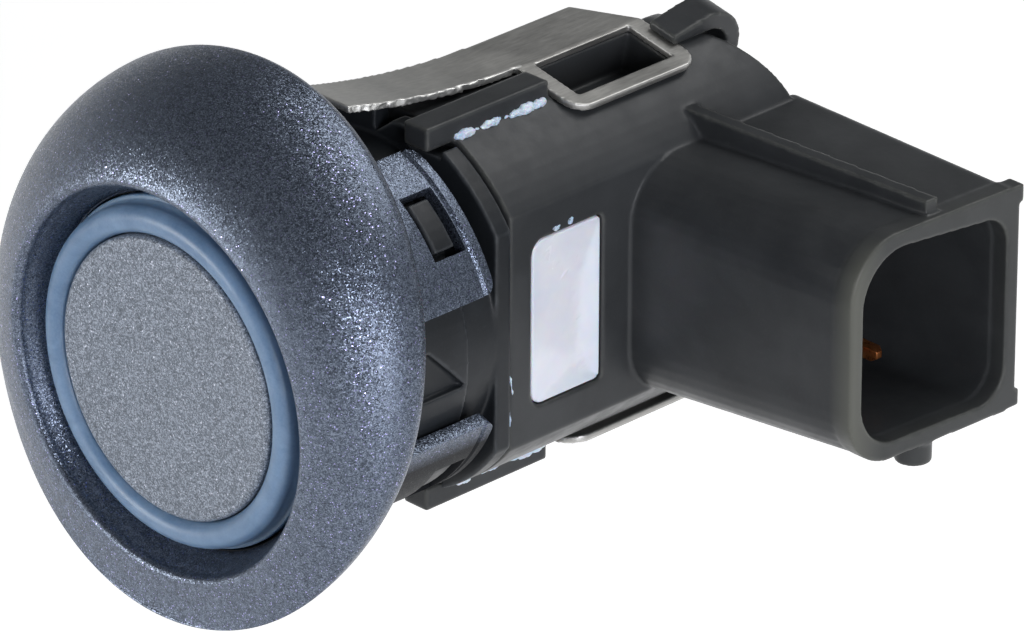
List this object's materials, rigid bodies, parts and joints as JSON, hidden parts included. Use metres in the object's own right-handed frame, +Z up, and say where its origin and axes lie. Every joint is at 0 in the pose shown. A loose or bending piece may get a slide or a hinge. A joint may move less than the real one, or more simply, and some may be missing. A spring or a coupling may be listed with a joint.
{
  "type": "parking sensor",
  "caption": "Ultrasonic parking sensor: tilted painted bezel, round sensing face in a soft ring, potted housing with a side connector, and steel spring clips.",
  "frame": {"origin": "where the sensor axis crosses the plane of the bezel's rear seat", "axes": "the sensor looks along -Y, the connector leaves along +X, +Z is up; the rear seat leans by the bezel's tilt about X"},
  "size_m": [0.0348, 0.0362, 0.0266],
  "materials": {
    "bezel_paint": "metallic flake paint over moulded plastic",
    "sensing_face": "fine metallic paint on aluminium",
    "soft_ring": "blue-grey silicone",
    "piezo": "plain",
    "damping": "foamed",
    "backfill": "cast silicone",
    "copper": "bare copper wire",
    "holder_plastic": "fine moulded",
    "gasket": "plain",
    "housing_plastic": "satin moulded",
    "potting": "glossy cast silicone",
    "laminate": "solder mask",
    "ferrite": "plain",
    "chip_plastic": "plain",
    "capacitor": "plain",
    "terminal": "bare copper alloy",
    "clip_steel": "stamped spring steel",
    "sealant": "thin smeared sealant"
  },
  "bodies": {
    "root": {"bezel": "bezel_paint", "transducer_case": "sensing_face", "decoupling_ring": "soft_ring", "piezo_disc": "piezo", "damping_pad": "damping", "case_backfill": "backfill", "upper_lead": "copper", "lower_lead": "copper", "transducer_holder": "holder_plastic", "seam_gasket": "gasket", "rear_housing": "housing_plastic", "potting": "potting", "circuit_board": "laminate", "transformer": "ferrite", "control_chip": "chip_plastic", "drive_capacitor": "capacitor", "filter_capacitor": "capacitor", "first_terminal": "terminal", "second_terminal": "terminal", "third_terminal": "terminal", "top_spring_clip": "clip_steel", "bottom_spring_clip": "clip_steel", "sealant_dabs": "sealant"}
  },
  "joints": []
}
